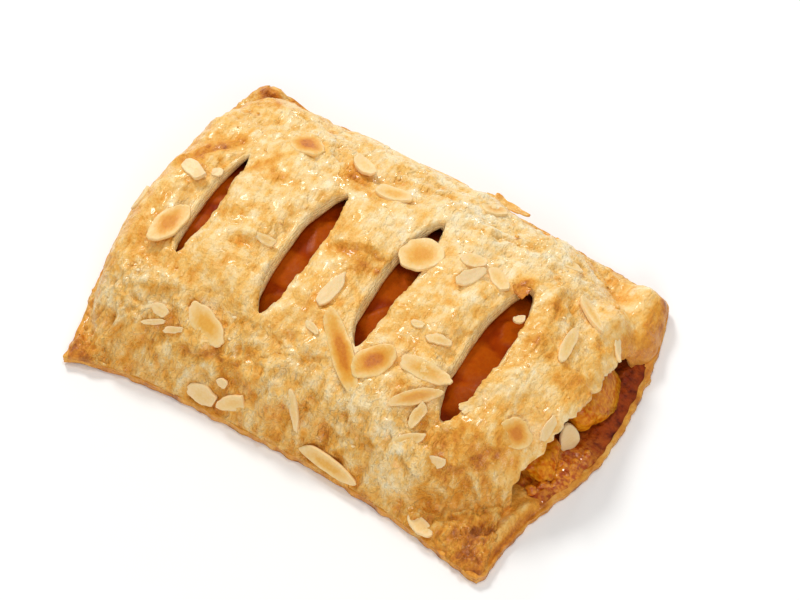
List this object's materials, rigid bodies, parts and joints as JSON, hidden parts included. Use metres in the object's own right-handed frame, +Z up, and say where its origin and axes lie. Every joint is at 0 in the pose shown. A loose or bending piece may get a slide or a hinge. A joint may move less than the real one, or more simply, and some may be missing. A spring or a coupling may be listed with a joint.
{
  "type": "pear puff pastry",
  "caption": "Baked rectangular puff pastry pillow with slits across its domed lid, a glossy pear filling, an open end and sliced almonds.",
  "frame": {"origin": "middle of the flat underside, on the surface that the pastry rests on", "axes": "+X along the pastry's length towards its open end, +Y across it, +Z up through the slit lid"},
  "size_m": [0.1412, 0.1001, 0.0274],
  "materials": {
    "dough": "baked flaky puff pastry, pale cream to golden brown, egg-washed satin",
    "almond": "toasted almond slices, cream rim and golden middle, smooth satin",
    "filling": "clear amber-brown pear jelly with pear cubes in it, wet gloss",
    "pear": "cooked pear flesh, yellow amber, moist",
    "caramel": "dark red-brown baked fruit syrup, sticky gloss"
  },
  "bodies": {
    "root": {"pastry": "dough", "filling": "filling", "pear_chunk_big": "pear", "pear_chunk_small": "pear"}
  },
  "joints": []
}
